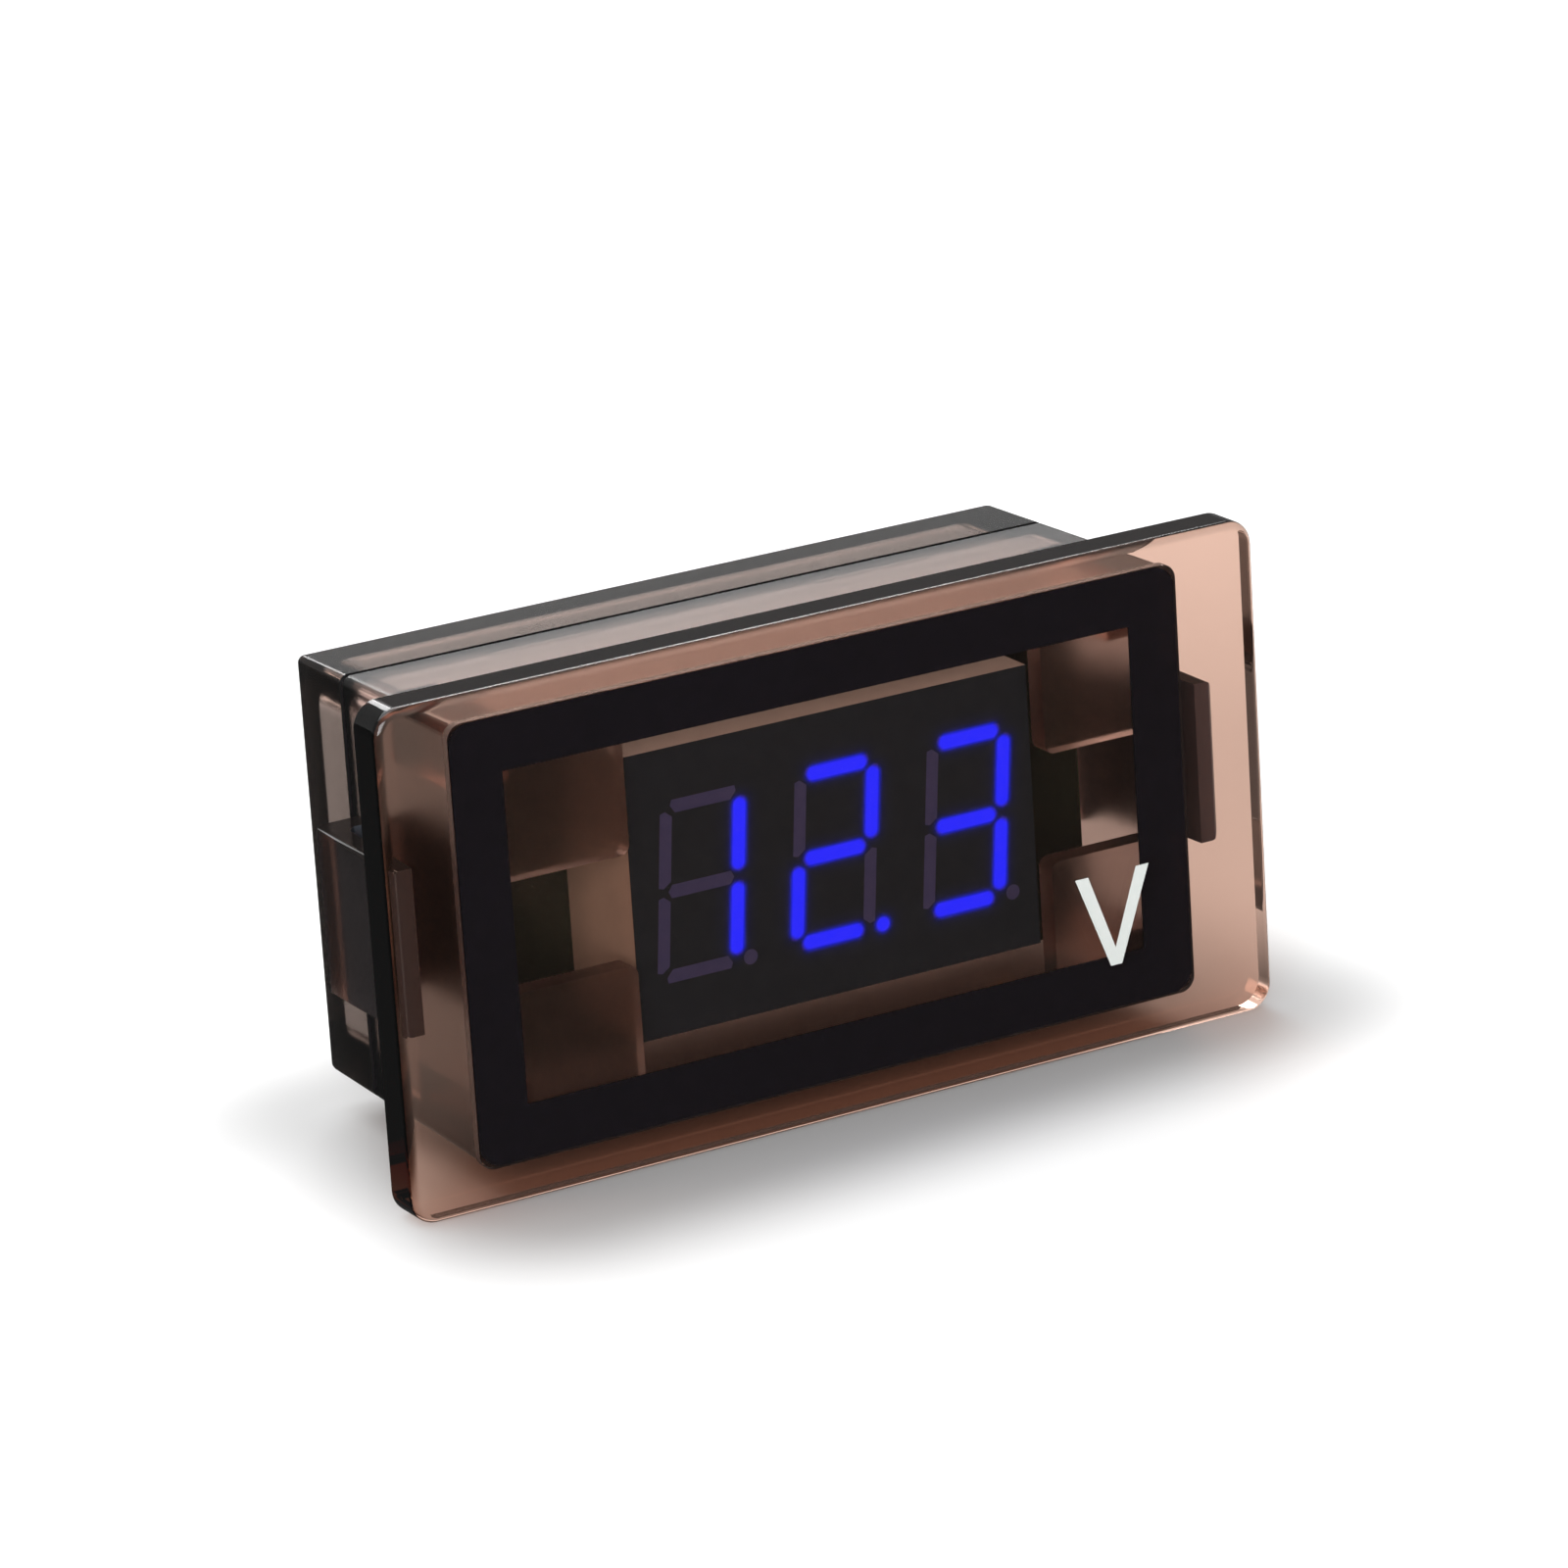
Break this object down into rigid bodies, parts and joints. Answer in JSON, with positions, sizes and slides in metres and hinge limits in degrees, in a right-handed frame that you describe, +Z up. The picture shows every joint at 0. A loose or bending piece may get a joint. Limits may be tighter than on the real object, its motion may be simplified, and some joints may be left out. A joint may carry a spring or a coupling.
{
  "type": "digital panel meter",
  "caption": "Snap-in digital panel voltmeter: smoke-tinted clear bezel and box, black-framed window, blue seven-segment LED display.",
  "frame": {"origin": "centre of the panel opening, in the plane of the panel's front face, which the bezel's back rests on", "axes": "+Z up; +Y back through the panel, away from the viewer; +X to the right along the face, seen from the front"},
  "size_m": [0.048, 0.0175, 0.0252],
  "materials": {
    "bezel_plastic": "glossy see-through smoke-brown polycarbonate",
    "body_plastic": "glossy see-through smoke-brown polycarbonate",
    "cover_plastic": "glossy dark smoke polycarbonate",
    "frame_ink": "black screen print on film",
    "display_white": "white reflector moulding with a black printed face",
    "display_board": "pale glass-fibre board",
    "segment_lit": "lit blue resin",
    "segment_dark": "unlit milky resin",
    "board_green": "green solder mask",
    "tin": "tinned metal",
    "pad_gold": "plated copper",
    "package_black": "black moulding compound",
    "can_aluminium": "bare drawn can",
    "resistor_black": "glazed thick film",
    "ceramic_tan": "fired ceramic"
  },
  "bodies": {
    "root": {"bezel": "bezel_plastic", "printed_frame": "frame_ink", "body": "body_plastic", "rear_cover": "cover_plastic", "display_shell": "display_white", "display_board": "display_board", "display_pins": "tin", "digit_1_lit": "segment_lit", "digit_1_dark": "segment_dark", "digit_2_lit": "segment_lit", "digit_2_dark": "segment_dark", "digit_3_lit": "segment_lit", "digit_3_dark": "segment_dark", "lit_point": "segment_lit", "dark_points": "segment_dark", "circuit_board": "board_green", "solder_joints": "tin", "lead_pads": "pad_gold", "controller_body": "package_black", "controller_leads": "tin", "regulator_body": "package_black", "regulator_leads": "tin", "diode_body": "package_black", "diode_tabs": "tin", "capacitor_can": "can_aluminium", "capacitor_base": "package_black", "resistor_bodies": "resistor_black", "resistor_ends": "tin", "ceramic_bodies": "ceramic_tan", "ceramic_ends": "tin"}
  },
  "joints": []
}
